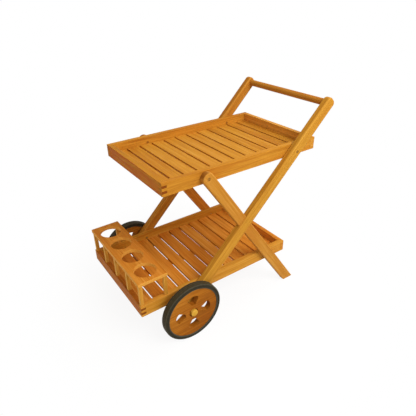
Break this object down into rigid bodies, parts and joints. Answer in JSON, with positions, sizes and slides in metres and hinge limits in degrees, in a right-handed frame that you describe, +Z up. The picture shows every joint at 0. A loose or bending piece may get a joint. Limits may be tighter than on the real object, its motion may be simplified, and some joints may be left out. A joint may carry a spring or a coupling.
{
  "type": "serving trolley",
  "caption": "Wooden serving trolley with two slatted trays on crossed legs, wooden wheels with rubber tyres, a round push handle and a bottle rack over the lower tray.",
  "frame": {"origin": "on the floor, under the middle of the overall length and width", "axes": "+Z up, +X from the wheels to the handle, -Y the left side for the person who pushes"},
  "size_m": [0.9182, 0.597, 0.8509],
  "materials": {
    "frame_wood": "oiled hardwood, planed and sanded, satin",
    "slat_wood": "oiled hardwood boards, planed, satin",
    "rack_wood": "oiled hardwood, planed, satin",
    "wheel_wood": "oiled hardwood, turned and sanded, satin",
    "cap_wood": "pale turned wood, matt",
    "tyre": "moulded black rubber",
    "steel": "zinc-plated steel",
    "brass": "brass-plated, dulled",
    "nylon": "moulded nylon"
  },
  "bodies": {
    "frame": {"axle": "steel", "axle_washers": "steel", "back_rack_posts": "rack_wood", "front_rack_posts": "rack_wood", "handle_bar": "frame_wood", "left_hub_cap": "cap_wood", "left_long_leg": "frame_wood", "left_short_leg": "frame_wood", "leg_bolts": "brass", "leg_nuts": "brass", "leg_screws": "steel", "lower_back_rail": "frame_wood", "lower_batten": "slat_wood", "lower_front_rail": "frame_wood", "lower_left_cleat": "slat_wood", "lower_left_rail": "frame_wood", "lower_right_cleat": "slat_wood", "lower_right_rail": "frame_wood", "lower_slat_01": "slat_wood", "lower_slat_02": "slat_wood", "lower_slat_03": "slat_wood", "lower_slat_04": "slat_wood", "lower_slat_05": "slat_wood", "lower_slat_06": "slat_wood", "lower_slat_07": "slat_wood", "lower_slat_08": "slat_wood", "lower_slat_09": "slat_wood", "lower_slat_10": "slat_wood", "lower_slat_11": "slat_wood", "lower_slat_12": "slat_wood", "rack_plate": "rack_wood", "right_hub_cap": "cap_wood", "right_long_leg": "frame_wood", "right_short_leg": "frame_wood", "slat_screws": "steel", "upper_back_rail": "frame_wood", "upper_batten": "slat_wood", "upper_front_rail": "frame_wood", "upper_left_cleat": "slat_wood", "upper_left_rail": "frame_wood", "upper_right_cleat": "slat_wood", "upper_right_rail": "frame_wood", "upper_slat_01": "slat_wood", "upper_slat_02": "slat_wood", "upper_slat_03": "slat_wood", "upper_slat_04": "slat_wood", "upper_slat_05": "slat_wood", "upper_slat_06": "slat_wood", "upper_slat_07": "slat_wood", "upper_slat_08": "slat_wood", "upper_slat_09": "slat_wood", "upper_slat_10": "slat_wood", "upper_slat_11": "slat_wood", "upper_slat_12": "slat_wood"},
    "left_wheel": {"left_tyre": "tyre", "left_wheel_disc": "wheel_wood", "left_wheel_bush": "nylon"},
    "right_wheel": {"right_tyre": "tyre", "right_wheel_disc": "wheel_wood", "right_wheel_bush": "nylon"}
  },
  "joints": [
    {"name": "left_wheel_spin", "type": "hinge", "parent": "frame", "child": "left_wheel", "pos_m": [-0.26802, -0.275, 0.129], "axis": [0, 1, 0], "continuous": true},
    {"name": "right_wheel_spin", "type": "hinge", "parent": "frame", "child": "right_wheel", "pos_m": [-0.26802, 0.275, 0.129], "axis": [0, 1, 0], "continuous": true}
  ]
}
